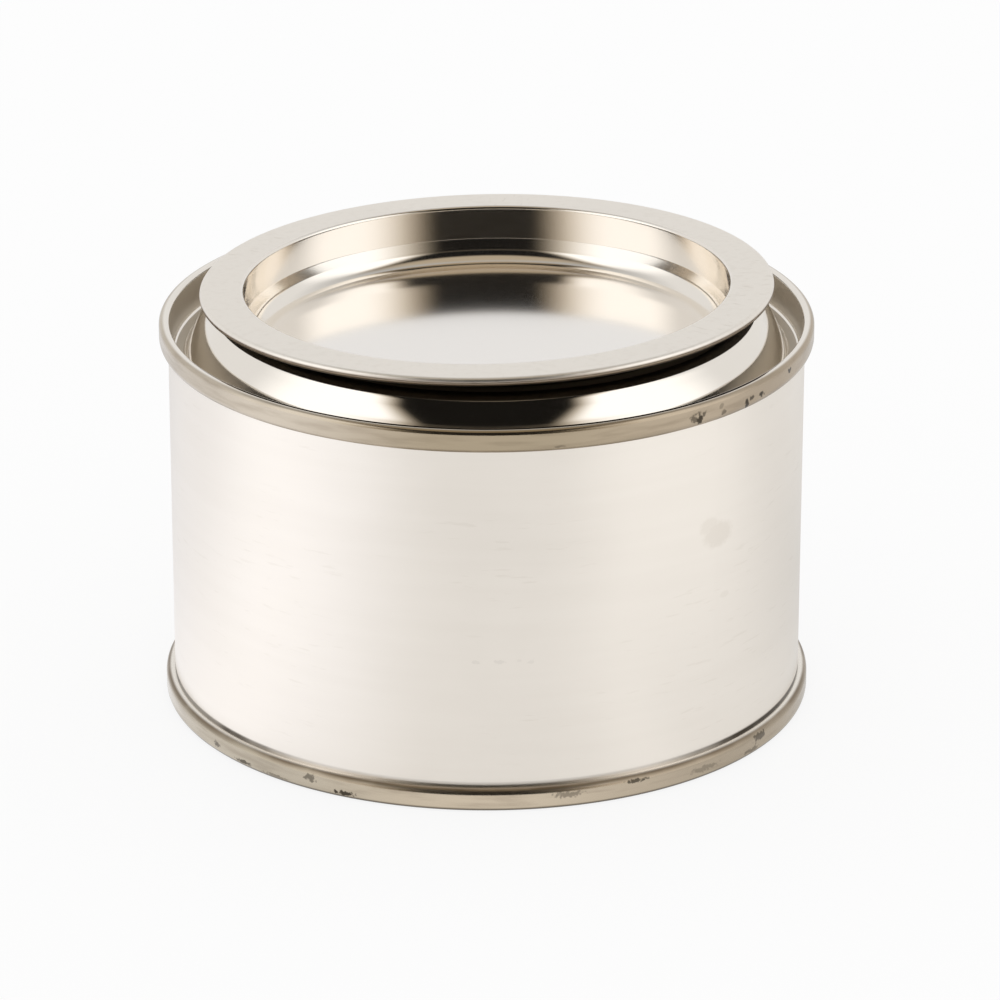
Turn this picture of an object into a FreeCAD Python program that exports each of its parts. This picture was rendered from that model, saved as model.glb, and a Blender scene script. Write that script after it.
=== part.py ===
"""Squat round tin can with a lever lid pressed into its top ring.

Four pieces, each turned about the can's axis: the body, the ring seamed to its top,
the bottom end seamed under it, and the lid pushed into the ring's mouth.
The origin is the middle of the circle that the can stands on, and +Z is up.
All sizes are in millimetres and all angles in degrees.
"""
import FreeCAD, Part
import math
import os

# Body
can_height = 52.85            # over both seams
body_radius = 42.45           # outside of the body wall
body_wall = 0.2
weld_width = 1.6              # welded lap that runs up the body
weld_height = 0.12            # how far the lap stands proud of the wall
weld_bearing = 90.0           # where the lap is, from +X towards +Y

# Double seams, the same at both ends
seam_stand_out = 1.2          # seam's face outside the body wall
seam_height = 3.2
chuck_setback = 0.2           # chuck wall inside the body's outside, at the crown
crown_outer_radius = 0.7
crown_inner_radius = 0.45
hook_radius = 1.05            # where the seam is rolled in against the body
chuck_wall_taper = 4.5        # off upright

# Top ring
ring_groove_depth = 4.65      # crown down to the floor of the groove inside the top seam
ring_groove_width = 1.65
ring_groove_radius = 0.5      # rounding at each side of that floor
ring_floor = 0.4              # sheet under the groove
ring_foot_slope = 64.0        # off level, where the ring climbs out of the groove
ring_swell_height = 4.3       # groove floor up to where the slope eases
ring_swell_radius = 12.0      # how gently it eases
ring_slope = 55.0             # off level, from there up to the shoulder
ring_shoulder_radius = 2.0
ring_rise = 2.2               # top of the shoulder above the crown
mouth_lip_radius = 0.9

# Lid
rim_radius = 38.2
rim_thickness = 1.2           # hemmed flange
rim_edge_radius = 0.55
lid_wall = 0.3                # drawn sheet of the plug and its panel
recess_radius = 32.3          # inside of the plug at its lip
recess_depth = 7.9            # rim's top face down to the panel
lip_radius = 0.45
crease_depth = 4.7            # rim's top face down to the widest line of the plug
crease_stand_out = 0.12       # how much wider the plug is there than at its lip
crease_radius = 0.2
plug_taper = 17.0             # off upright, from the crease down to the panel
panel_fillet_radius = 2.6
plug_clearance = 0.35         # round the widest line of the plug, in the mouth
plug_foot_clearance = 0.35    # under the plug
seat_clearance = 0.3          # between rim and shoulder where they come nearest
lean_to_back = 0.76           # the lid's back edge is its lower one
lean_to_left = 1.16           # the lid's -X edge is its lower one

# Bottom end
end_groove_depth = 4.6        # standing ring up to the groove inside the bottom seam
end_groove_width = 1.6
end_groove_radius = 0.5
end_floor = 0.4               # sheet over that groove
end_panel_drop = 1.0          # how far the panel stands down from that groove
end_step_width = 0.5          # run of the sloping step between groove and panel
end_bead_setback = 9.0        # groove's inner edge to the stiffening bead
end_bead_width = 2.4
end_bead_height = 0.4
end_bead_radius = 0.8

# Worked out from the sizes above
seam_radius = body_radius + seam_stand_out
chuck_radius = body_radius - chuck_setback
inside_radius = body_radius - body_wall
ring_seat = can_height - seam_height
ring_bed = can_height - ring_groove_depth - ring_floor
end_bed = end_groove_depth + end_floor
ring_top = can_height + ring_rise
crease_radius_inside = recess_radius + crease_stand_out
mouth_radius = crease_radius_inside + lid_wall + plug_clearance
lid_lean = math.hypot(math.tan(math.radians(lean_to_back)), math.tan(math.radians(lean_to_left)))


def tan(degrees):
    return math.tan(math.radians(degrees))


def rounded_outline(corners):
    """A closed face in the XZ plane from (radius, height, rounding) corners in order."""
    edges = []
    joints = []
    count = len(corners)
    for i, (r, z, rounding) in enumerate(corners):
        here = FreeCAD.Vector(r, 0, z)
        before = FreeCAD.Vector(corners[i - 1][0], 0, corners[i - 1][1])
        after = FreeCAD.Vector(corners[(i + 1) % count][0], 0, corners[(i + 1) % count][1])
        if rounding == 0:
            joints.append((here, here, here))
            continue
        to_before = (before - here).normalize()
        to_after = (after - here).normalize()
        half_angle = to_before.getAngle(to_after) / 2
        reach = rounding / math.tan(half_angle)
        bisector = (to_before + to_after).normalize()
        middle = here + bisector * (rounding / math.sin(half_angle) - rounding)
        joints.append((here + to_before * reach, middle, here + to_after * reach))
    for i, (start, middle, end) in enumerate(joints):
        if start != end:
            edges.append(Part.Arc(start, middle, end).toShape())
        next_start = joints[(i + 1) % count][0]
        edges.append(Part.LineSegment(end, next_start).toShape())
    return Part.Face(Part.Wire(edges))


def turned(corners):
    """The solid that a closed outline sweeps round the can's axis."""
    face = rounded_outline(corners)
    return face.revolve(FreeCAD.Vector(0, 0, 0), FreeCAD.Vector(0, 0, 1), 360)


def ring_section():
    """The top ring's corners, and where its level shoulder begins.

    Inside the seam a flat-floored groove lies at the foot of the tapered chuck wall.
    From it the ring swells up to the shoulder in two slopes eased into each other.
    """
    groove_z = can_height - ring_groove_depth
    groove_outer = chuck_radius - ring_groove_depth * tan(chuck_wall_taper)
    groove_inner = groove_outer - ring_groove_width
    swell_z = groove_z + ring_swell_height
    swell_r = groove_inner - ring_swell_height / tan(ring_foot_slope)
    shoulder_r = swell_r - (ring_top - swell_z) / tan(ring_slope)
    corners = [
        (mouth_radius, ring_bed, 0),
        (inside_radius, ring_bed, 0),
        (inside_radius, ring_seat, 0),
        (seam_radius, ring_seat, hook_radius),
        (seam_radius, can_height, crown_outer_radius),
        (chuck_radius, can_height, crown_inner_radius),
        (groove_outer, groove_z, ring_groove_radius),
        (groove_inner, groove_z, ring_groove_radius),
        (swell_r, swell_z, ring_swell_radius),
        (shoulder_r, ring_top, ring_shoulder_radius),
        (mouth_radius, ring_top, mouth_lip_radius),
    ]
    return corners, shoulder_r - ring_shoulder_radius * tan(ring_slope / 2)


def lid_section(rim_top):
    """The lid's corners, upright: hemmed rim, drawn plug wall and flat panel, one sheet thick."""
    crease_r = crease_radius_inside
    panel_r = crease_r - (recess_depth - crease_depth) * tan(plug_taper)
    wall_run = lid_wall / math.cos(math.radians(plug_taper))
    upper_lean = math.degrees(math.atan2(crease_stand_out, crease_depth))
    crease_drop = lid_wall * tan((plug_taper - upper_lean) / 2)
    foot_r = panel_r + wall_run - lid_wall * tan(plug_taper)
    crease_z = rim_top - crease_depth
    panel_z = rim_top - recess_depth
    return [
        (rim_radius, rim_top, rim_edge_radius),
        (recess_radius, rim_top, lip_radius),
        (crease_r, crease_z, crease_radius),
        (panel_r, panel_z, panel_fillet_radius),
        (0, panel_z, 0),
        (0, panel_z - lid_wall, 0),
        (foot_r, panel_z - lid_wall, panel_fillet_radius + lid_wall),
        (crease_r + lid_wall, crease_z - crease_drop, crease_radius + lid_wall),
        (recess_radius + lid_wall, rim_top - rim_thickness, 0),
        (rim_radius, rim_top - rim_thickness, rim_edge_radius),
    ]


def make_top_ring():
    corners, _ = ring_section()
    return turned(corners)


def lid_rim_top():
    """Height of the rim's top face on the axis, with the leaning rim seated on the shoulder."""
    _, shoulder_start = ring_section()
    return ring_top + seat_clearance + shoulder_start * lid_lean + rim_thickness


def make_lid():
    rim_top = lid_rim_top()
    lid = turned(lid_section(rim_top))
    pivot = FreeCAD.Vector(0, 0, rim_top)
    lid.rotate(pivot, FreeCAD.Vector(1, 0, 0), -lean_to_back)
    lid.rotate(pivot, FreeCAD.Vector(0, 1, 0), -lean_to_left)
    return lid


def make_body():
    """Body wall and what fills it, up to the ring and to just under the leaning plug."""
    plug_foot = lid_rim_top() - recess_depth - lid_wall - recess_radius * lid_lean
    fill_z = plug_foot - plug_foot_clearance
    filled = turned([
        (0, end_bed, 0),
        (inside_radius, end_bed, 0),
        (inside_radius, seam_height, 0),
        (body_radius, seam_height, 0),
        (body_radius, ring_seat, 0),
        (inside_radius, ring_seat, 0),
        (inside_radius, ring_bed, 0),
        (mouth_radius, ring_bed, 0),
        (mouth_radius, fill_z, 0),
        (0, fill_z, 0),
    ])
    lap_corners = [
        FreeCAD.Vector(body_radius - weld_height, 0, seam_height),
        FreeCAD.Vector(body_radius + weld_height, 0, seam_height),
        FreeCAD.Vector(body_radius + weld_height, 0, ring_seat),
        FreeCAD.Vector(body_radius - weld_height, 0, ring_seat),
    ]
    lap_face = Part.Face(Part.makePolygon(lap_corners + lap_corners[:1]))
    lap_angle = math.degrees(weld_width / body_radius)
    axis = FreeCAD.Vector(0, 0, 1)
    origin = FreeCAD.Vector(0, 0, 0)
    lap = lap_face.revolve(origin, axis, lap_angle)
    lap.rotate(origin, axis, weld_bearing - lap_angle / 2)
    return filled.fuse(lap)


def make_bottom_end():
    """Standing ring, groove inside it, and a panel with one stiffening bead."""
    groove_z = end_groove_depth
    panel_z = groove_z - end_panel_drop
    groove_outer = chuck_radius - groove_z * tan(chuck_wall_taper)
    groove_inner = groove_outer - end_groove_width
    bead_r = groove_inner - end_bead_setback
    return turned([
        (0, end_bed, 0),
        (inside_radius, end_bed, 0),
        (inside_radius, seam_height, 0),
        (seam_radius, seam_height, hook_radius),
        (seam_radius, 0, crown_outer_radius),
        (chuck_radius, 0, crown_inner_radius),
        (groove_outer, groove_z, end_groove_radius),
        (groove_inner, groove_z, end_groove_radius),
        (groove_inner - end_step_width, panel_z, end_groove_radius),
        (bead_r + end_bead_width / 2, panel_z, end_bead_radius),
        (bead_r, panel_z - end_bead_height, end_bead_radius),
        (bead_r - end_bead_width / 2, panel_z, end_bead_radius),
        (0, panel_z, 0),
    ])


pieces = {
    "body": make_body(),
    "top_ring": make_top_ring(),
    "lid": make_lid(),
    "bottom_end": make_bottom_end(),
}

os.makedirs("parts", exist_ok=True)
for name, piece in pieces.items():
    solids = piece.Solids
    if len(solids) != 1 or not piece.isValid():
        raise ValueError(f"{name} is not one valid solid")
    piece.Solids[0].exportStep(f"parts/{name}.step")
    box = piece.optimalBoundingBox()
    print(f"{name}: {piece.Volume / 1000:.2f} cm3, z {box.ZMin:.2f} to {box.ZMax:.2f}, r {box.XMax:.2f}")
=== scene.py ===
import math

import bpy
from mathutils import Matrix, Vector


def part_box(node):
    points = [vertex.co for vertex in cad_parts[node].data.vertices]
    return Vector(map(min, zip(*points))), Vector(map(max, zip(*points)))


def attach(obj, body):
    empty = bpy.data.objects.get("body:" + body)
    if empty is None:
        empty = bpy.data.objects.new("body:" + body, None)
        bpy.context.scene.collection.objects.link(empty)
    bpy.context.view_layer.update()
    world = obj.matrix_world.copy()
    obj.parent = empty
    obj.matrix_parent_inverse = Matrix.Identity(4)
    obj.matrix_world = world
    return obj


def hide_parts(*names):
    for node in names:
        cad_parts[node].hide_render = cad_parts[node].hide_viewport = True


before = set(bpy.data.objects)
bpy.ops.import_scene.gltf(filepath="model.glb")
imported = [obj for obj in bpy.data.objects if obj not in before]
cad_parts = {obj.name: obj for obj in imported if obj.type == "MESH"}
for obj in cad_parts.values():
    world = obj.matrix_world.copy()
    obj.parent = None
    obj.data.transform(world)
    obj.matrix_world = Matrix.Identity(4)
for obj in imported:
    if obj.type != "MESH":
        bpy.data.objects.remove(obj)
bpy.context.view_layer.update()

# ----------------------------------------------------------------------------
# Sizes in metres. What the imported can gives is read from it, the rest are the
# can maker's own sizes.
# ----------------------------------------------------------------------------
MM = 0.001

wall_low, wall_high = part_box("body")
ring_low, ring_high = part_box("top_ring")
_, end_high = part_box("bottom_end")

seam_height = wall_low.z
can_height = wall_high.z + seam_height
body_radius = wall_high.x
seam_radius = ring_high.x
shoulder_top = ring_high.z

# Welded lap of the body wall
weld_width = 1.6 * MM
weld_height = 0.12 * MM

# Double seams and what lies inside them
body_wall = 0.2 * MM
chuck_setback = 0.2 * MM
chuck_taper = math.radians(4.5)
crown_outer_radius = 0.7 * MM
crown_inner_radius = 0.45 * MM
hook_radius = 1.05 * MM

# Top ring
ring_groove_depth = 4.65 * MM
ring_groove_width = 1.65 * MM
ring_groove_radius = 0.5 * MM
ring_foot_slope = math.radians(64)
ring_swell_height = 4.3 * MM
ring_swell_radius = 12 * MM
ring_slope = math.radians(55)
ring_shoulder_radius = 2.0 * MM
mouth_lip_radius = 0.9 * MM

# Lid
rim_radius = 38.2 * MM
rim_thickness = 1.2 * MM
rim_edge_radius = 0.55 * MM
lid_sheet = 0.3 * MM
recess_radius = 32.3 * MM
recess_depth = 7.9 * MM
lip_radius = 0.45 * MM
crease_depth = 4.7 * MM
crease_stand_out = 0.12 * MM
crease_radius = 0.2 * MM
plug_taper = math.radians(17)
panel_fillet_radius = 2.6 * MM
plug_clearance = 0.35 * MM
plug_foot_clearance = 0.35 * MM
seat_clearance = 0.3 * MM
lean_to_back = math.radians(0.76)
lean_to_left = math.radians(1.16)

# Bottom end
end_groove_depth = 4.6 * MM
end_groove_width = 1.6 * MM
end_groove_radius = 0.5 * MM
end_panel_drop = 1.0 * MM
end_step_width = 0.5 * MM
end_bead_setback = 9.0 * MM
end_bead_width = 2.4 * MM
end_bead_height = 0.4 * MM
end_bead_radius = 0.8 * MM

# Worked out from these
inside_radius = body_radius - body_wall
chuck_radius = body_radius - chuck_setback
groove_outer = chuck_radius - ring_groove_depth * math.tan(chuck_taper)
crease_inside = recess_radius + crease_stand_out
mouth_radius = crease_inside + lid_sheet + plug_clearance
lid_lean = math.hypot(math.tan(lean_to_back), math.tan(lean_to_left))

TURN_STEPS = 240                # faces round each turned piece
ARC_STEP = math.radians(8)      # most that one face of a rounding turns
FEWEST_ARC_FACES = 4            # in a rounding that turns only a little
HOLD = 0.12 * MM                # from a rounding's end to the loop that keeps the flat beside it flat
SAME_PLACE = 1e-7               # points nearer than this are one point
SHARP = math.radians(40)        # an edge that turns more than this stays sharp


# ----------------------------------------------------------------------------
# Turned shapes
# ----------------------------------------------------------------------------
def clear_selection():
    if bpy.context.mode != "OBJECT":
        bpy.ops.object.mode_set(mode="OBJECT")
    bpy.ops.object.select_all(action="DESELECT")


def select_points(piece, wanted):
    """Leaves exactly the vertices for which wanted(co) is true selected, in edit mode."""
    bpy.ops.object.mode_set(mode="OBJECT")
    mesh = piece.data
    for face in mesh.polygons:
        face.select = False
    for edge in mesh.edges:
        edge.select = False
    for vertex in mesh.vertices:
        vertex.select = wanted(vertex.co)
    bpy.ops.object.mode_set(mode="EDIT")
    bpy.ops.mesh.select_mode(type="VERT")


def corner_reach(before, here, after, rounding):
    """How far a rounding reaches along the runs beside its corner, and how far it turns."""
    to_before = (before - here).normalized()
    to_after = (after - here).normalized()
    inner = to_before.angle(to_after)
    return rounding / math.tan(inner / 2), math.pi - inner


def hold_point(corner, end, reach):
    """Where the flat from a rounded corner to end is held, at most half way along what is flat."""
    run = end - corner
    return corner + run.normalized() * min(reach + HOLD, (reach + run.length) / 2)


def drawn_outline(name, corners, closed):
    """A chain of edges in the XZ plane through (radius, height, rounding) corners."""
    points = [Vector((r, 0, z)) for r, z, _ in corners]
    count = len(points)
    route = []
    rounds = []
    for i, (corner, (_, _, rounding)) in enumerate(zip(points, corners)):
        if rounding == 0:
            route.append(corner)
            continue
        before = points[i - 1]
        after = points[(i + 1) % count]
        reach, turn = corner_reach(before, corner, after, rounding)
        route += [hold_point(corner, before, reach), corner, hold_point(corner, after, reach)]
        rounds.append((corner, reach, max(FEWEST_ARC_FACES, math.ceil(turn / ARC_STEP))))

    clear_selection()
    bpy.ops.mesh.primitive_plane_add(size=MM, location=(0, 0, 0))
    piece = bpy.context.object
    piece.name = name
    piece.data.name = name
    bpy.ops.object.mode_set(mode="EDIT")
    bpy.ops.mesh.select_all(action="SELECT")
    bpy.ops.mesh.merge(type="CENTER")
    bpy.ops.transform.translate(value=route[0])
    for last, spot in zip(route, route[1:]):
        bpy.ops.mesh.extrude_region_move(TRANSFORM_OT_translate={"value": spot - last})
    if closed:
        ends = (route[0], route[-1])
        select_points(piece, lambda co: min((co - e).length for e in ends) < SAME_PLACE)
        bpy.ops.mesh.edge_face_add()
    for corner, reach, segments in rounds:
        select_points(piece, lambda co: (co - corner).length < SAME_PLACE)
        bpy.ops.mesh.bevel(offset=reach, offset_type="OFFSET", segments=segments,
                           profile=0.5, affect="VERTICES")
    return piece


def turned(name, corners, closed=True):
    """The outline swept once round the can's axis, smooth but at its sharp corners."""
    piece = drawn_outline(name, corners, closed)
    bpy.ops.mesh.select_all(action="SELECT")
    bpy.ops.mesh.spin(steps=TURN_STEPS, angle=math.tau, center=(0, 0, 0), axis=(0, 0, 1))
    bpy.ops.mesh.select_all(action="SELECT")
    bpy.ops.mesh.remove_doubles(threshold=SAME_PLACE)
    bpy.ops.mesh.normals_make_consistent(inside=False)
    bpy.ops.object.mode_set(mode="OBJECT")
    bpy.ops.object.shade_smooth_by_angle(angle=SHARP)
    return piece


# ----------------------------------------------------------------------------
# The four pieces
# ----------------------------------------------------------------------------
def ring_corners():
    """Outline of the top ring, and where its level shoulder begins."""
    groove_z = can_height - ring_groove_depth
    groove_inner = groove_outer - ring_groove_width
    swell_z = groove_z + ring_swell_height
    swell_r = groove_inner - ring_swell_height / math.tan(ring_foot_slope)
    shoulder_r = swell_r - (shoulder_top - swell_z) / math.tan(ring_slope)
    corners = [
        (mouth_radius, ring_low.z, 0),
        (inside_radius, ring_low.z, 0),
        (inside_radius, wall_high.z, 0),
        (seam_radius, wall_high.z, hook_radius),
        (seam_radius, can_height, crown_outer_radius),
        (chuck_radius, can_height, crown_inner_radius),
        (groove_outer, groove_z, ring_groove_radius),
        (groove_inner, groove_z, ring_groove_radius),
        (swell_r, swell_z, ring_swell_radius),
        (shoulder_r, shoulder_top, ring_shoulder_radius),
        (mouth_radius, shoulder_top, mouth_lip_radius),
    ]
    return corners, shoulder_r - ring_shoulder_radius * math.tan(ring_slope / 2)


def make_ring():
    corners, _ = ring_corners()
    return turned("seamed_ring", corners)


def lid_rim_top():
    """Height of the rim's top face on the axis, with the leaning rim seated on the shoulder."""
    _, shoulder_start = ring_corners()
    return shoulder_top + seat_clearance + shoulder_start * lid_lean + rim_thickness


def make_wall():
    """Body wall and what fills it, up to the ring and to just under the leaning plug."""
    plug_foot = lid_rim_top() - recess_depth - lid_sheet - recess_radius * lid_lean
    fill_z = plug_foot - plug_foot_clearance
    can_wall = turned("can_wall", [
        (0, end_high.z, 0),
        (inside_radius, end_high.z, 0),
        (inside_radius, wall_low.z, 0),
        (body_radius, wall_low.z, 0),
        (body_radius, wall_high.z, 0),
        (inside_radius, wall_high.z, 0),
        (inside_radius, ring_low.z, 0),
        (mouth_radius, ring_low.z, 0),
        (mouth_radius, fill_z, 0),
        (0, fill_z, 0),
    ], closed=False)

    # The welded lap stands proud of the two faces beside +Y, which are drawn in to its width
    face_width = body_radius * math.sin(math.tau / TURN_STEPS)

    def on_lap(co):
        outside = math.hypot(co.x, co.y) > (body_radius + inside_radius) / 2
        return outside and co.y > 0 and abs(co.x) < 1.5 * face_width

    select_points(can_wall, on_lap)
    bpy.ops.transform.resize(value=(weld_width / 2 / face_width, 1, 1), center_override=(0, 0, 0))
    bpy.ops.mesh.select_mode(type="FACE")
    bpy.ops.mesh.extrude_region_move(TRANSFORM_OT_translate={"value": (0, weld_height, 0)})
    bpy.ops.mesh.select_mode(type="VERT")
    bpy.ops.object.mode_set(mode="OBJECT")
    bpy.ops.object.shade_smooth_by_angle(angle=SHARP)
    return can_wall


def make_bottom():
    end_groove_outer = chuck_radius - end_groove_depth * math.tan(chuck_taper)
    end_groove_inner = end_groove_outer - end_groove_width
    panel_z = end_groove_depth - end_panel_drop
    bead_r = end_groove_inner - end_bead_setback
    return turned("seamed_bottom", [
        (0, end_high.z, 0),
        (inside_radius, end_high.z, 0),
        (inside_radius, wall_low.z, 0),
        (seam_radius, wall_low.z, hook_radius),
        (seam_radius, 0, crown_outer_radius),
        (chuck_radius, 0, crown_inner_radius),
        (end_groove_outer, end_groove_depth, end_groove_radius),
        (end_groove_inner, end_groove_depth, end_groove_radius),
        (end_groove_inner - end_step_width, panel_z, end_groove_radius),
        (bead_r + end_bead_width / 2, panel_z, end_bead_radius),
        (bead_r, panel_z - end_bead_height, end_bead_radius),
        (bead_r - end_bead_width / 2, panel_z, end_bead_radius),
        (0, panel_z, 0),
    ], closed=False)


def make_lid():
    """The lever lid, leaning on the shoulder as it was pressed in."""
    rim_top = lid_rim_top()
    panel_r = crease_inside - (recess_depth - crease_depth) * math.tan(plug_taper)
    upper_lean = math.atan2(crease_stand_out, crease_depth)
    crease_drop = lid_sheet * math.tan((plug_taper - upper_lean) / 2)
    foot_r = panel_r + lid_sheet / math.cos(plug_taper) - lid_sheet * math.tan(plug_taper)
    crease_z = rim_top - crease_depth
    panel_z = rim_top - recess_depth
    lid = turned("lever_lid", [
        (0, panel_z - lid_sheet, 0),
        (foot_r, panel_z - lid_sheet, panel_fillet_radius + lid_sheet),
        (crease_inside + lid_sheet, crease_z - crease_drop, crease_radius + lid_sheet),
        (recess_radius + lid_sheet, rim_top - rim_thickness, 0),
        (rim_radius, rim_top - rim_thickness, rim_edge_radius),
        (rim_radius, rim_top, rim_edge_radius),
        (recess_radius, rim_top, lip_radius),
        (crease_inside, crease_z, crease_radius),
        (panel_r, panel_z, panel_fillet_radius),
        (0, panel_z, 0),
    ], closed=False)
    bpy.ops.object.mode_set(mode="EDIT")
    bpy.ops.mesh.select_all(action="SELECT")
    pivot = (0, 0, rim_top)
    bpy.ops.transform.rotate(value=lean_to_back, orient_axis="X", center_override=pivot)
    bpy.ops.transform.rotate(value=lean_to_left, orient_axis="Y", center_override=pivot)
    bpy.ops.object.mode_set(mode="OBJECT")
    return lid


wall = make_wall()
ring = make_ring()
bottom = make_bottom()
lid = make_lid()

for piece, node, slot in (
    (wall, "body", "body_tinplate"),
    (ring, "top_ring", "ring_tinplate"),
    (bottom, "bottom_end", "end_tinplate"),
    (lid, "lid", "lid_tinplate"),
):
    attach(piece, "root")
    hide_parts(node)


# ----------------------------------------------------------------------------
# Shader building
# ----------------------------------------------------------------------------
def joined(tree, socket, value):
    """Feeds a socket from another node's output or sets it to a constant."""
    if hasattr(value, "links"):
        tree.links.new(value, socket)
    else:
        socket.default_value = value


def calc(tree, operation, first, second=0.0):
    node = tree.nodes.new("ShaderNodeMath")
    node.operation = operation
    joined(tree, node.inputs[0], first)
    joined(tree, node.inputs[1], second)
    return node.outputs[0]


def vector_calc(tree, operation, first, second=(0, 0, 0)):
    node = tree.nodes.new("ShaderNodeVectorMath")
    node.operation = operation
    joined(tree, node.inputs[0], first)
    joined(tree, node.inputs[1], second)
    return node.outputs["Value" if operation == "LENGTH" else "Vector"]


def parts_of(tree, vector):
    """The x, y and z of a vector."""
    node = tree.nodes.new("ShaderNodeSeparateXYZ")
    joined(tree, node.inputs[0], vector)
    return node.outputs


def from_axis(tree, position):
    """How far a place is from the can's axis."""
    return vector_calc(tree, "LENGTH", vector_calc(tree, "MULTIPLY", position, (1, 1, 0)))


def ramp(tree, value, start, end, low=0.0, high=1.0):
    """Smooth step of value from low at start to high at end, which may lie below start."""
    node = tree.nodes.new("ShaderNodeMapRange")
    node.interpolation_type = "SMOOTHSTEP"
    joined(tree, node.inputs["Value"], value)
    joined(tree, node.inputs["From Min"], start)
    joined(tree, node.inputs["From Max"], end)
    joined(tree, node.inputs["To Min"], low)
    joined(tree, node.inputs["To Max"], high)
    return node.outputs[0]


def noise(tree, vector, scale, detail=2.0):
    """Even noise, its scale in waves to the metre."""
    node = tree.nodes.new("ShaderNodeTexNoise")
    joined(tree, node.inputs["Vector"], vector)
    joined(tree, node.inputs["Scale"], scale)
    joined(tree, node.inputs["Detail"], detail)
    return node.outputs["Fac"]


def mixed(tree, share, first, second):
    """A colour between two others, which a mix node takes on its sockets 6 and 7."""
    node = tree.nodes.new("ShaderNodeMix")
    node.data_type = "RGBA"
    joined(tree, node.inputs[0], share)
    joined(tree, node.inputs[6], first)
    joined(tree, node.inputs[7], second)
    return node.outputs[2]


def blended(tree, share, first, second):
    """A value between two others, which a mix node takes on its sockets 2 and 3."""
    node = tree.nodes.new("ShaderNodeMix")
    node.data_type = "FLOAT"
    joined(tree, node.inputs[0], share)
    joined(tree, node.inputs[2], first)
    joined(tree, node.inputs[3], second)
    return node.outputs[0]


def new_group(name, inputs, outputs):
    """An empty node group with the sockets listed as (name, kind, default)."""
    tree = bpy.data.node_groups.new(name, "ShaderNodeTree")
    for label, kind, default in inputs:
        socket = tree.interface.new_socket(label, in_out="INPUT", socket_type="NodeSocket" + kind)
        if default is not None:
            socket.default_value = default
    for label, kind in outputs:
        tree.interface.new_socket(label, in_out="OUTPUT", socket_type="NodeSocket" + kind)
    return tree, tree.nodes.new("NodeGroupInput").outputs, tree.nodes.new("NodeGroupOutput").inputs


def use_group(tree, group, **values):
    """Places a node group in a material with its own values."""
    node = tree.nodes.new("ShaderNodeGroup")
    node.node_tree = group
    for label, value in values.items():
        joined(tree, node.inputs[label], value)
    return node.outputs


# How finely each pattern is drawn. The triples are drawn out round the can.
STREAK_DRAW = (25, 25, 420)
SCUFF_DRAW = (230, 230, 1900)
SOIL_DRAW = (110, 110, 900)
STAIN_SCALE = 1900.0
SPECKLE_SCALE = 900.0
BLOTCH_SCALE = 90.0
SCUFF_PATCH_SCALE = 45.0
CREVICE_SHADE_PATCH_SCALE = 110.0
RAGGED = 2.4                # how far the noise moves a stain's edge, in shares of its reach

# Where the finish of a seamed piece changes, outwards from the chuck wall at the crown
CHUCK_WALL_FULL = -0.05 * MM
CHUCK_WALL_END = 0.08 * MM
SEAM_FACE_START = 0.65 * MM
SEAM_FACE_FULL = 1.05 * MM
# The chuck wall's dulling and its painted shade are weaker in front of the axis, from PAST_FRONT on
DULL_AND_SHADE_SHARE_IN_FRONT = 0.25
FRONT = -32 * MM
PAST_FRONT = -14 * MM


def make_stain_group():
    """Mask of one ragged stain: its strength at its middle, 0 outside it."""
    tree, given, result = new_group(
        "stain",
        [("Position", "Vector", None), ("Middle", "Vector", (0, 0, 0)),
         ("Reach", "Vector", (MM, MM, MM)), ("Strength", "Float", 1.0), ("Ragged", "Float", RAGGED)],
        [("Mask", "Float")],
    )
    away = vector_calc(tree, "SUBTRACT", given["Position"], given["Middle"])
    away = vector_calc(tree, "LENGTH", vector_calc(tree, "DIVIDE", away, given["Reach"]))
    ragged = noise(tree, given["Position"], STAIN_SCALE, 4.0)
    ragged = calc(tree, "MULTIPLY", calc(tree, "SUBTRACT", ragged, 0.5), given["Ragged"])
    away = calc(tree, "ADD", away, ragged)
    mask = ramp(tree, away, 1.0, 0.5)
    joined(tree, result["Mask"], calc(tree, "MULTIPLY", mask, given["Strength"]))
    return tree


def make_grain_group():
    """Rolling grain and short scuffs that run round the can, and the blotches of handled sheet."""
    tree, given, result = new_group(
        "sheet_grain",
        [("Position", "Vector", None)],
        [("Streak", "Float"), ("Scuff", "Float"), ("Blotch", "Float"), ("Speckle", "Float")],
    )
    drawn = vector_calc(tree, "MULTIPLY", given["Position"], STREAK_DRAW)
    joined(tree, result["Streak"], noise(tree, drawn, 1.0, 4.0))
    rubbed = vector_calc(tree, "MULTIPLY", given["Position"], SCUFF_DRAW)
    scuff = ramp(tree, noise(tree, rubbed, 1.0), 0.60, 0.74)
    patch = ramp(tree, noise(tree, given["Position"], SCUFF_PATCH_SCALE), 0.42, 0.62)
    joined(tree, result["Scuff"], calc(tree, "MULTIPLY", scuff, patch))
    joined(tree, result["Blotch"], noise(tree, given["Position"], BLOTCH_SCALE, 3.0))
    joined(tree, result["Speckle"], noise(tree, given["Position"], SPECKLE_SCALE))
    return tree


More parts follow.
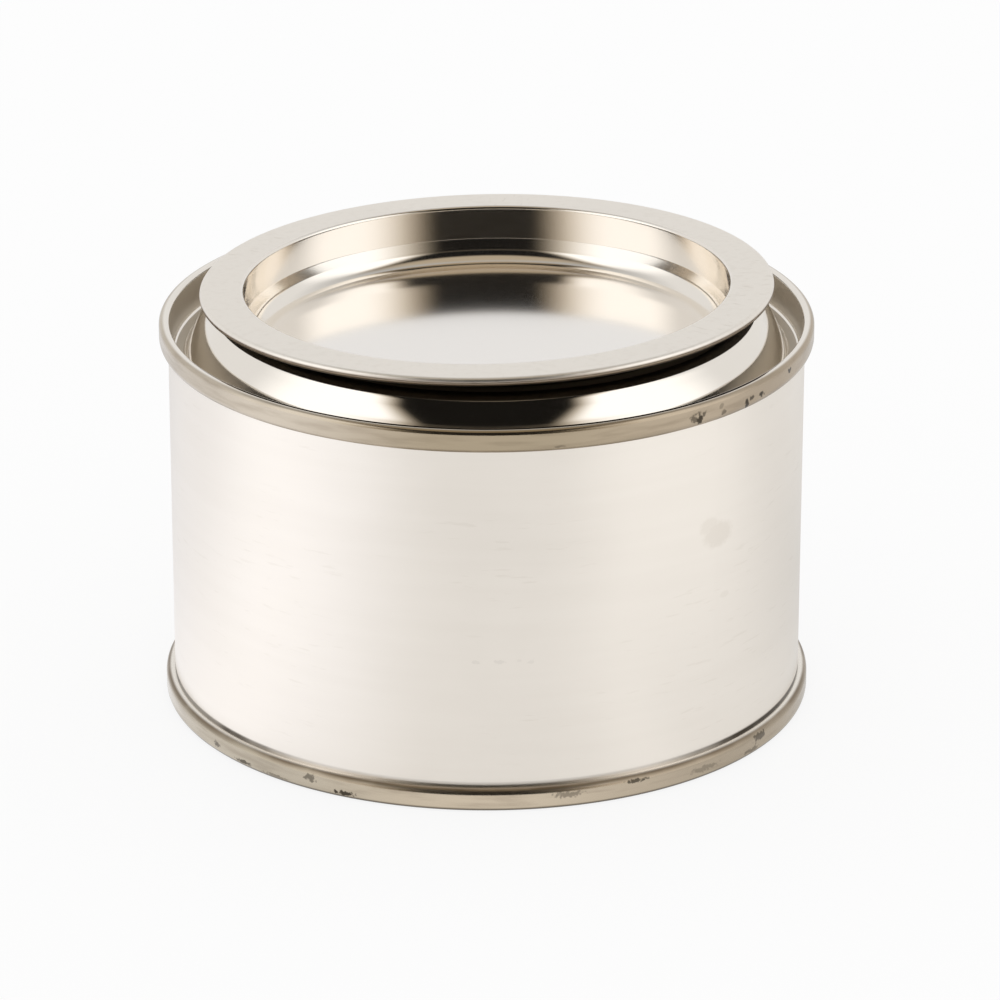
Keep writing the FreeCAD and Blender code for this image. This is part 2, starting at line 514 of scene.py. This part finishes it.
def make_soil_and_shade_group():
    """Masks of a seam's dull face, of the dull chuck wall with its painted shade, and of the soil on
    the seam: streaks round it, and painted shade heavier towards the crevice beside the body wall."""
    tree, given, result = new_group(
        "seam_soil_and_shade",
        [("Position", "Vector", None), ("Radius", "Float", 0.0), ("Crevice", "Float", 0.0),
         ("Reach", "Float", MM)],
        [("Seam", "Float"), ("ChuckDullAndShade", "Float"), ("SoilAndShade", "Float")],
    )
    radius = given["Radius"]
    _, y, z = parts_of(tree, given["Position"])
    seam_face = ramp(tree, radius, chuck_radius + SEAM_FACE_START, chuck_radius + SEAM_FACE_FULL)
    joined(tree, result["Seam"], seam_face)

    past_groove = ramp(tree, radius, groove_outer - 0.02 * MM, groove_outer + 0.05 * MM)
    before_crown = ramp(tree, radius, chuck_radius + CHUCK_WALL_END, chuck_radius + CHUCK_WALL_FULL)
    chuck_wall = calc(tree, "MULTIPLY", past_groove, before_crown)
    away = ramp(tree, y, FRONT, PAST_FRONT, low=DULL_AND_SHADE_SHARE_IN_FRONT)
    joined(tree, result["ChuckDullAndShade"], calc(tree, "MULTIPLY", chuck_wall, away))

    drawn = vector_calc(tree, "MULTIPLY", given["Position"], SOIL_DRAW)
    streak = ramp(tree, noise(tree, drawn, 1.0, 4.0), 0.42, 0.75)
    # Painted shade towards the crevice's height, in patches
    gap = calc(tree, "ABSOLUTE", calc(tree, "SUBTRACT", z, given["Crevice"]))
    edge = ramp(tree, gap, given["Reach"], 0.05 * MM)
    patchy = ramp(tree, noise(tree, given["Position"], CREVICE_SHADE_PATCH_SCALE, 3.0), 0.3, 0.6, low=0.45)
    edge = calc(tree, "MULTIPLY", edge, patchy)
    joined(tree, result["SoilAndShade"], calc(tree, "MAXIMUM", calc(tree, "MULTIPLY", streak, 0.3), edge))
    return tree


STAIN = make_stain_group()
GRAIN = make_grain_group()
SOIL_AND_SHADE = make_soil_and_shade_group()


def on_can(bearing, radius, height):
    """A point on a turned face: bearing in degrees from the front (-Y) towards +X, height in mm."""
    turn = math.radians(bearing)
    return Vector((radius * math.sin(turn), -radius * math.cos(turn), height * MM))


def stains(tree, position, radius, marks, ragged=RAGGED):
    """Stains at (bearing, height, width, height of the mark, strength) joined into one mask."""
    total = 0.0
    for bearing, height, wide, tall, strength in marks:
        mask = use_group(tree, STAIN, Position=position, Middle=on_can(bearing, radius, height),
                         Reach=(wide / 2 * MM, wide / 2 * MM, tall / 2 * MM), Strength=strength,
                         Ragged=ragged)
        total = calc(tree, "MAXIMUM", total, mask["Mask"])
    return total


def start_material(name):
    """A bare metal, with the place of what is shaded and its distance from the can's axis."""
    material = bpy.data.materials.new(name)
    material.use_nodes = True
    tree = material.node_tree
    shader = tree.nodes["Principled BSDF"]
    shader.inputs["Metallic"].default_value = 1
    position = tree.nodes.new("ShaderNodeTexCoord").outputs["Object"]
    return material, tree, shader, position, from_axis(tree, position)


def wavy(tree, shader, position, scale, depth):
    """The slight waviness of drawn sheet."""
    bump = tree.nodes.new("ShaderNodeBump")
    bump.inputs["Strength"].default_value = 1
    bump.inputs["Distance"].default_value = depth
    joined(tree, bump.inputs["Height"], noise(tree, position, scale, 1.0))
    joined(tree, shader.inputs["Normal"], bump.outputs[0])


# ----------------------------------------------------------------------------
# Finishes
# ----------------------------------------------------------------------------
TIN = (0.88, 0.83, 0.76, 1)
WALL_TIN = (0.882, 0.828, 0.757, 1)
PANEL_TIN = (0.92, 0.885, 0.845, 1)
CHUCK_TIN_AND_SHADE = (0.62, 0.56, 0.47, 1)       # dulled by the seaming chuck, and darker as painted shade
RIM_EDGE_PAINTED_DARK = (0.40, 0.32, 0.24, 1)        # painted dark reflection on the edge of the lid's rim
TIN_STAINED = (0.70, 0.64, 0.56, 1)
# The face of each seam at the left, in the middle and at the right: its colour, with painted light and
# shade that change it from side to side
TOP_SEAM_WITH_PAINTED_LIGHT = ((0.57, 0.50, 0.405, 1), (0.45, 0.37, 0.26, 1), (0.45, 0.37, 0.275, 1))
BOTTOM_SEAM_WITH_PAINTED_LIGHT = ((0.48, 0.425, 0.335, 1), (0.66, 0.56, 0.43, 1), (0.45, 0.38, 0.29, 1))
# Soil streaks on a seam's face, also used as painted shade along its crevice
SEAM_SOIL_AND_SHADE = (0.20, 0.15, 0.10, 1)
# Dark grime for real specks and marks, also used as painted shade under the lid's rim, along the wall's
# foot and where the bottom seam meets the floor
GRIME_AND_SHADE = (0.05, 0.04, 0.028, 1)

# Each mark: bearing in degrees, height, width and height of the mark in mm, strength
WALL_SMUDGES = [
    (44.9, 33.4, 7.0, 4.6, 0.42),
    (42.8, 34.8, 4.6, 3.4, 0.34),
    (46.9, 24.5, 2.2, 1.2, 0.22),
]
WALL_SPECKS = [
    (-1.9, 20.65, 1.2, 0.6, 0.07),
    (2.4, 20.7, 1.4, 0.65, 0.08),
    (5.6, 20.75, 1.0, 0.6, 0.05),
    (7.7, 20.55, 1.1, 0.6, 0.06),
]
TOP_SEAM_MARKS = [
    (37.3, 51.15, 1.3, 1.3, 0.7),
    (38.6, 50.9, 1.3, 1.9, 0.95),
    (39.6, 51.4, 0.9, 0.9, 0.7),
    (44.1, 50.8, 1.1, 0.8, 0.6),
    (43.7, 51.7, 0.9, 1.0, 0.35),
    (50.3, 50.6, 1.1, 1.8, 0.95),
    (51.6, 51.1, 1.3, 0.7, 0.8),
    (54.5, 51.0, 1.5, 0.9, 0.95),
    (64.7, 51.7, 1.2, 0.9, 0.95),
    (12.2, 50.4, 1.8, 0.5, 0.4),
]
BOTTOM_SEAM_MARKS = [
    (-55.0, 1.3, 1.7, 0.9, 0.7),
    (-47.2, 0.8, 3.2, 0.7, 0.8),
    (-39.0, 0.6, 6.0, 0.6, 0.45),
    (-31.8, 1.9, 2.2, 1.3, 0.65),
    (-25.1, 0.8, 4.0, 0.8, 0.95),
    (14.0, 1.9, 5.0, 1.0, 0.5),
    (26.3, 2.4, 3.6, 0.7, 0.85),
    (41.0, 1.4, 5.0, 1.0, 0.35),
    (53.6, 0.8, 4.0, 0.8, 0.5),
    (56.0, 2.1, 3.4, 1.4, 0.7),
]

SMUDGE_RAGGED = 0.5
# Roughness: where the chuck pressed and on soil, then on the lid's three parts
DULL = 0.42
RECESS_POLISH = 0.12
RIM_SATIN = 0.36
UNDER_RIM_DULL = 0.6
# How often scratches may come in one radian of the rim, and in one metre outwards
SPOKES_ROUND = 34.0
SPOKES_ALONG = 260.0
CORNER_SHADE_FULL = 0.3 * MM       # height up to which painted shade in a corner is full
CORNER_SHADE_END = 0.65 * MM       # height at which it ends


def wall_finish():
    """Satin sheet with its grain, scuffs and smudges, its weld at the back, specks of grime, and
    painted shade at its foot.
    """
    material, tree, shader, position, _ = start_material("wall_tin")
    grain = use_group(tree, GRAIN, Position=position)
    x, y, z = parts_of(tree, position)
    across = calc(tree, "ABSOLUTE", x)

    streaks = ramp(tree, grain["Streak"], 0.3, 0.75, high=0.08)
    scuffs = calc(tree, "MULTIPLY", grain["Scuff"], 0.24)
    smudges = stains(tree, position, body_radius, WALL_SMUDGES, SMUDGE_RAGGED)
    on_lap = ramp(tree, across, weld_width / 2 + 0.05 * MM, weld_width / 2 - 0.3 * MM, high=0.5)
    weld = calc(tree, "MULTIPLY", on_lap, ramp(tree, y, 0.0, body_radius))
    tone = streaks
    for mask in (scuffs, smudges, weld):
        tone = calc(tree, "MAXIMUM", tone, mask)
    color = mixed(tree, tone, WALL_TIN, TIN_STAINED)

    # Painted shade along the wall's foot above the bottom seam, patchy and heavier at the sides
    crevice = ramp(tree, calc(tree, "SUBTRACT", z, wall_low.z), CORNER_SHADE_END, CORNER_SHADE_FULL)
    patchy = ramp(tree, noise(tree, position, 70.0, 3.0), 0.35, 0.6, low=0.65)
    at_side = ramp(tree, across, 20 * MM, 33 * MM, low=0.25)
    crevice = calc(tree, "MULTIPLY", crevice, calc(tree, "MULTIPLY", patchy, at_side))
    specks = stains(tree, position, body_radius, WALL_SPECKS)
    grime_and_shade = calc(tree, "MAXIMUM", specks, crevice)
    joined(tree, shader.inputs["Base Color"], mixed(tree, grime_and_shade, color, GRIME_AND_SHADE))
    joined(tree, shader.inputs["Roughness"], ramp(tree, grain["Blotch"], 0.3, 0.7, low=0.30, high=0.34))
    return material


def seamed_finish(name, crevice, reach, marks, polish, faces_with_painted_light):
    """Bright inside the double seam, dull and darkened by painted shade where the chuck pressed, soiled
    on the seam's face, with painted shade along its crevice and foot and painted light across it.

    The painted shade of the crevice reaches that far from the crevice's height. Polish is the roughness
    of the bright part, and faces_with_painted_light are the colours of the seam's face at the left, in
    the middle and at the right, with painted light and shade in them.
    """
    material, tree, shader, position, radius = start_material(name)
    grain = use_group(tree, GRAIN, Position=position)
    soil_and_shade = use_group(tree, SOIL_AND_SHADE, Position=position, Radius=radius, Crevice=crevice, Reach=reach)
    x, _, z = parts_of(tree, position)

    bright = mixed(tree, ramp(tree, grain["Blotch"], 0.4, 0.8, high=0.10), TIN, TIN_STAINED)
    # The chuck wall's darker colour is painted shade; its roughness is the real dulling by the chuck
    bright = mixed(tree, soil_and_shade["ChuckDullAndShade"], bright, CHUCK_TIN_AND_SHADE)
    left, middle, right = faces_with_painted_light
    # Painted light and shade across the seam's face, from the left through the middle to the right
    face = mixed(tree, ramp(tree, x, -30 * MM, -4 * MM), left, middle)
    face = mixed(tree, ramp(tree, x, 4 * MM, 30 * MM), face, right)
    dull = mixed(tree, soil_and_shade["SoilAndShade"], face, SEAM_SOIL_AND_SHADE)
    color = mixed(tree, soil_and_shade["Seam"], bright, dull)

    # Painted shade along the bottom of the seam's face, where the can stands on the floor
    floor_contact_shade = ramp(tree, z, CORNER_SHADE_END, CORNER_SHADE_FULL, high=0.85)
    floor_contact_shade = calc(tree, "MULTIPLY", floor_contact_shade, soil_and_shade["Seam"])
    grime_and_shade = calc(tree, "MAXIMUM", stains(tree, position, seam_radius, marks), floor_contact_shade)
    joined(tree, shader.inputs["Base Color"], mixed(tree, grime_and_shade, color, GRIME_AND_SHADE))

    face_gloss = ramp(tree, soil_and_shade["SoilAndShade"], 0.0, 1.0, low=0.20, high=DULL)
    inside_gloss = blended(tree, soil_and_shade["ChuckDullAndShade"], polish, DULL)
    joined(tree, shader.inputs["Roughness"], blended(tree, soil_and_shade["Seam"], inside_gloss, face_gloss))
    wavy(tree, shader, position, 60.0, 0.015 * MM)
    return material


def lid_finish():
    """Satin on the rim's top, bright in the recess, with a painted dark reflection on the rim's edge
    and painted shade under it.
    """
    material, tree, shader, position, _ = start_material("lid_tin")
    grain = use_group(tree, GRAIN, Position=position)
    # The place on the lid as it was before it leant, with the rim's top at no height
    upright = tree.nodes.new("ShaderNodeMapping")
    upright.vector_type = "TEXTURE"
    joined(tree, upright.inputs["Vector"], position)
    joined(tree, upright.inputs["Location"], (0, 0, lid_rim_top()))
    joined(tree, upright.inputs["Rotation"], (-lean_to_back, -lean_to_left, 0))
    place = upright.outputs[0]
    x, y, height = parts_of(tree, place)
    radius = from_axis(tree, place)

    rim = ramp(tree, radius, recess_radius + 0.1 * MM, recess_radius + 0.5 * MM)
    not_recess = ramp(tree, radius, recess_radius + 0.18 * MM, recess_radius + 0.28 * MM)
    # Painted dark reflection on the rim's edge, and painted shade under the rim
    edge = calc(tree, "MULTIPLY", ramp(tree, height, -0.3 * MM, -0.6 * MM), not_recess)
    shade_under_rim = calc(tree, "MULTIPLY", ramp(tree, height, -0.75 * MM, -1.1 * MM), not_recess)
    panel = ramp(tree, radius, recess_radius - 2.2 * MM, recess_radius - 3.2 * MM)

    # Short scratches from the recess outwards, in patches
    spokes = tree.nodes.new("ShaderNodeCombineXYZ")
    joined(tree, spokes.inputs["X"], calc(tree, "MULTIPLY", calc(tree, "ARCTAN2", y, x), SPOKES_ROUND))
    joined(tree, spokes.inputs["Y"], calc(tree, "MULTIPLY", radius, SPOKES_ALONG))
    scratch = ramp(tree, noise(tree, spokes.outputs[0], 1.6, 3.0), 0.58, 0.70)
    patch = ramp(tree, noise(tree, place, SCUFF_PATCH_SCALE), 0.45, 0.65)
    scratch = calc(tree, "MULTIPLY", calc(tree, "MULTIPLY", scratch, patch), rim)
    speckle = calc(tree, "MULTIPLY", ramp(tree, grain["Speckle"], 0.45, 0.8, high=0.2), rim)
    tone = calc(tree, "MAXIMUM", calc(tree, "MULTIPLY", scratch, 0.5), speckle)

    color = mixed(tree, tone, mixed(tree, panel, TIN, PANEL_TIN), TIN_STAINED)
    color = mixed(tree, edge, color, RIM_EDGE_PAINTED_DARK)
    joined(tree, shader.inputs["Base Color"], mixed(tree, shade_under_rim, color, GRIME_AND_SHADE))
    gloss = blended(tree, rim, RECESS_POLISH, RIM_SATIN)
    joined(tree, shader.inputs["Roughness"], blended(tree, shade_under_rim, gloss, UNDER_RIM_DULL))
    wavy(tree, shader, position, 45.0, 0.01 * MM)
    return material


for piece, finish in (
    (wall, wall_finish()),
    (ring, seamed_finish("ring_tin", wall_high.z, 0.8 * MM, TOP_SEAM_MARKS, 0.08, TOP_SEAM_WITH_PAINTED_LIGHT)),
    (bottom, seamed_finish("bottom_tin", wall_low.z, 1.1 * MM, BOTTOM_SEAM_MARKS, 0.25, BOTTOM_SEAM_WITH_PAINTED_LIGHT)),
    (lid, lid_finish()),
):
    piece.data.materials.append(finish)


# ----------------------------------------------------------------------------
# Floor, light and camera
# ----------------------------------------------------------------------------
FLOOR_SIZE = 6
FLOOR_PAPER = 0.88          # grey of the paper that takes the can's shadow
FLOOR_WHITE = 0.85          # share of plain white in what the floor shows
WHITE = (1, 1, 1, 1)

# How bright metal shows the floor in front of the can, at its left and at its right
FLOOR_FRONT = 0.935
FLOOR_LEFT = 1.285
FLOOR_RIGHT = 1.10
FLOOR_BACK = 0.80           # share of it that is left behind the can
FLOOR_NEAR_SHADOW = 0.85           # share of it that is left close to the can at its right, a painted shadow of the can
FLOOR_COOL = (0.99, 1.0, 1.04, 1)       # its tint at the left

# How bright metal shows the soft boxes, the sweep behind, the ceiling and the dark room
BOX = 1.30
SWEEP = 0.85
CEILING = 0.48
ROOM = 0.005
ROOM_MIDDLE = 0.07          # the room's grey band half way up
ROOM_TINT = (1.0, 0.84, 0.62, 1)

CAMERA_RISE = math.radians(21.8)
CAMERA_AWAY = 750 * MM
CAMERA_AIM = 26.1 * MM      # height of the point on the axis that it looks at
CAMERA_SENSOR = 36          # in mm, as is the lens
CAMERA_LENS = 199.9
CAMERA_SHIFT = 0.01345      # share of the frame by which the can stands left of its middle


def backdrop_rays(tree):
    """1 for the rays that see the backdrop: from the camera, in metal and through glass."""
    path = tree.nodes.new("ShaderNodeLightPath")
    seen = calc(tree, "MAXIMUM", path.outputs["Is Camera Ray"], path.outputs["Is Glossy Ray"])
    return calc(tree, "MAXIMUM", seen, path.outputs["Is Transmission Ray"])


def floor_glow(tree, path):
    """Strength and colour of the white in the floor: plain, except as metal shows it, where it holds
    painted light at the sides, dims behind the can and holds a painted shadow close to the can at its
    right.
    """
    position = tree.nodes.new("ShaderNodeTexCoord").outputs["Object"]
    x, y, _ = parts_of(tree, position)
    reach = from_axis(tree, position)
    sideways = calc(tree, "DIVIDE", x, reach)
    left = ramp(tree, sideways, -0.20, -1.0, high=FLOOR_LEFT - FLOOR_FRONT)
    right = ramp(tree, sideways, 0.3, 0.8, high=FLOOR_RIGHT - FLOOR_FRONT)
    near_right_shadow = calc(tree, "MULTIPLY", ramp(tree, sideways, 0.45, 0.85), ramp(tree, reach, 0.16, 0.05))
    glow = calc(tree, "ADD", calc(tree, "ADD", left, right), FLOOR_FRONT)
    glow = calc(tree, "MULTIPLY", glow, ramp(tree, y, -0.04, 0.04, low=1.0, high=FLOOR_BACK))
    glow = calc(tree, "MULTIPLY", glow, ramp(tree, near_right_shadow, 0.0, 1.0, low=1.0, high=FLOOR_NEAR_SHADOW))
    in_metal = path.outputs["Is Glossy Ray"]
    cool = calc(tree, "MULTIPLY", in_metal, ramp(tree, sideways, -0.2, -0.8))
    return blended(tree, in_metal, 1.0, glow), mixed(tree, cool, WHITE, FLOOR_COOL)


def make_floor():
    """Pale paper that keeps the can's shadow, under a share of white."""
    clear_selection()
    bpy.ops.mesh.primitive_plane_add(size=FLOOR_SIZE, location=(0, 0, 0))
    floor = bpy.context.object
    floor.name = "studio_floor"
    material = bpy.data.materials.new("floor_paper")
    material.use_nodes = True
    tree = material.node_tree
    shader = tree.nodes["Principled BSDF"]
    shader.inputs["Base Color"].default_value = (FLOOR_PAPER, FLOOR_PAPER, FLOOR_PAPER, 1)
    shader.inputs["Roughness"].default_value = 0.9
    shader.inputs["Specular IOR Level"].default_value = 0
    white = tree.nodes.new("ShaderNodeEmission")
    strength, color = floor_glow(tree, tree.nodes.new("ShaderNodeLightPath"))
    joined(tree, white.inputs["Strength"], strength)
    joined(tree, white.inputs["Color"], color)
    mix = tree.nodes.new("ShaderNodeMixShader")
    joined(tree, mix.inputs[0], calc(tree, "MULTIPLY", backdrop_rays(tree), FLOOR_WHITE))
    tree.links.new(shader.outputs[0], mix.inputs[1])
    tree.links.new(white.outputs[0], mix.inputs[2])
    tree.links.new(mix.outputs[0], tree.nodes["Material Output"].inputs["Surface"])
    floor.data.materials.append(material)


def make_world():
    """White all round. In metal it also shows two soft boxes and the dark room between them."""
    world = bpy.data.worlds.new("studio")
    bpy.context.scene.world = world
    world.use_nodes = True
    tree = world.node_tree
    # The direction looked in, with each part from -1 to 1
    x, y, z = parts_of(tree, tree.nodes.new("ShaderNodeTexCoord").outputs["Generated"])

    # The boxes' inner edges and how soft they are change with height
    inner = ramp(tree, z, 0.45, 0.72, low=0.34, high=0.44)
    outer = ramp(tree, z, 0.40, 0.54, low=0.86, high=0.60)
    side = ramp(tree, calc(tree, "ABSOLUTE", x), inner, outer)
    band = calc(tree, "MULTIPLY", ramp(tree, z, 0.39, 0.46), ramp(tree, z, 0.54, 0.48))
    room = ramp(tree, band, 0.0, 1.0, low=ROOM, high=ROOM_MIDDLE)
    front = blended(tree, side, room, BOX)
    front = blended(tree, ramp(tree, z, 0.85, 0.94), front, CEILING)

    sweep = ramp(tree, z, 0.55, 0.95, low=SWEEP, high=CEILING)
    behind = ramp(tree, y, -0.1, 0.3)
    light = blended(tree, behind, front, sweep)
    tint = mixed(tree, calc(tree, "MAXIMUM", side, behind), ROOM_TINT, WHITE)

    background = tree.nodes["Background"]
    in_metal = tree.nodes.new("ShaderNodeLightPath").outputs["Is Glossy Ray"]
    joined(tree, background.inputs["Color"], mixed(tree, in_metal, WHITE, tint))
    joined(tree, background.inputs["Strength"], blended(tree, in_metal, 1.0, light))


def make_camera():
    """Level with the world, above the front of the can and looking down at its middle."""
    aim = Vector((0, 0, CAMERA_AIM))
    place = aim + Vector((0, -math.cos(CAMERA_RISE), math.sin(CAMERA_RISE))) * CAMERA_AWAY
    bpy.ops.object.camera_add(location=place)
    camera = bpy.context.object
    camera.rotation_euler = (aim - place).to_track_quat("-Z", "Y").to_euler()
    camera.data.sensor_width = CAMERA_SENSOR
    camera.data.lens = CAMERA_LENS
    camera.data.shift_x = CAMERA_SHIFT
    bpy.context.scene.camera = camera


make_floor()
make_world()
make_camera()
bpy.context.scene.view_settings.view_transform = "Standard"
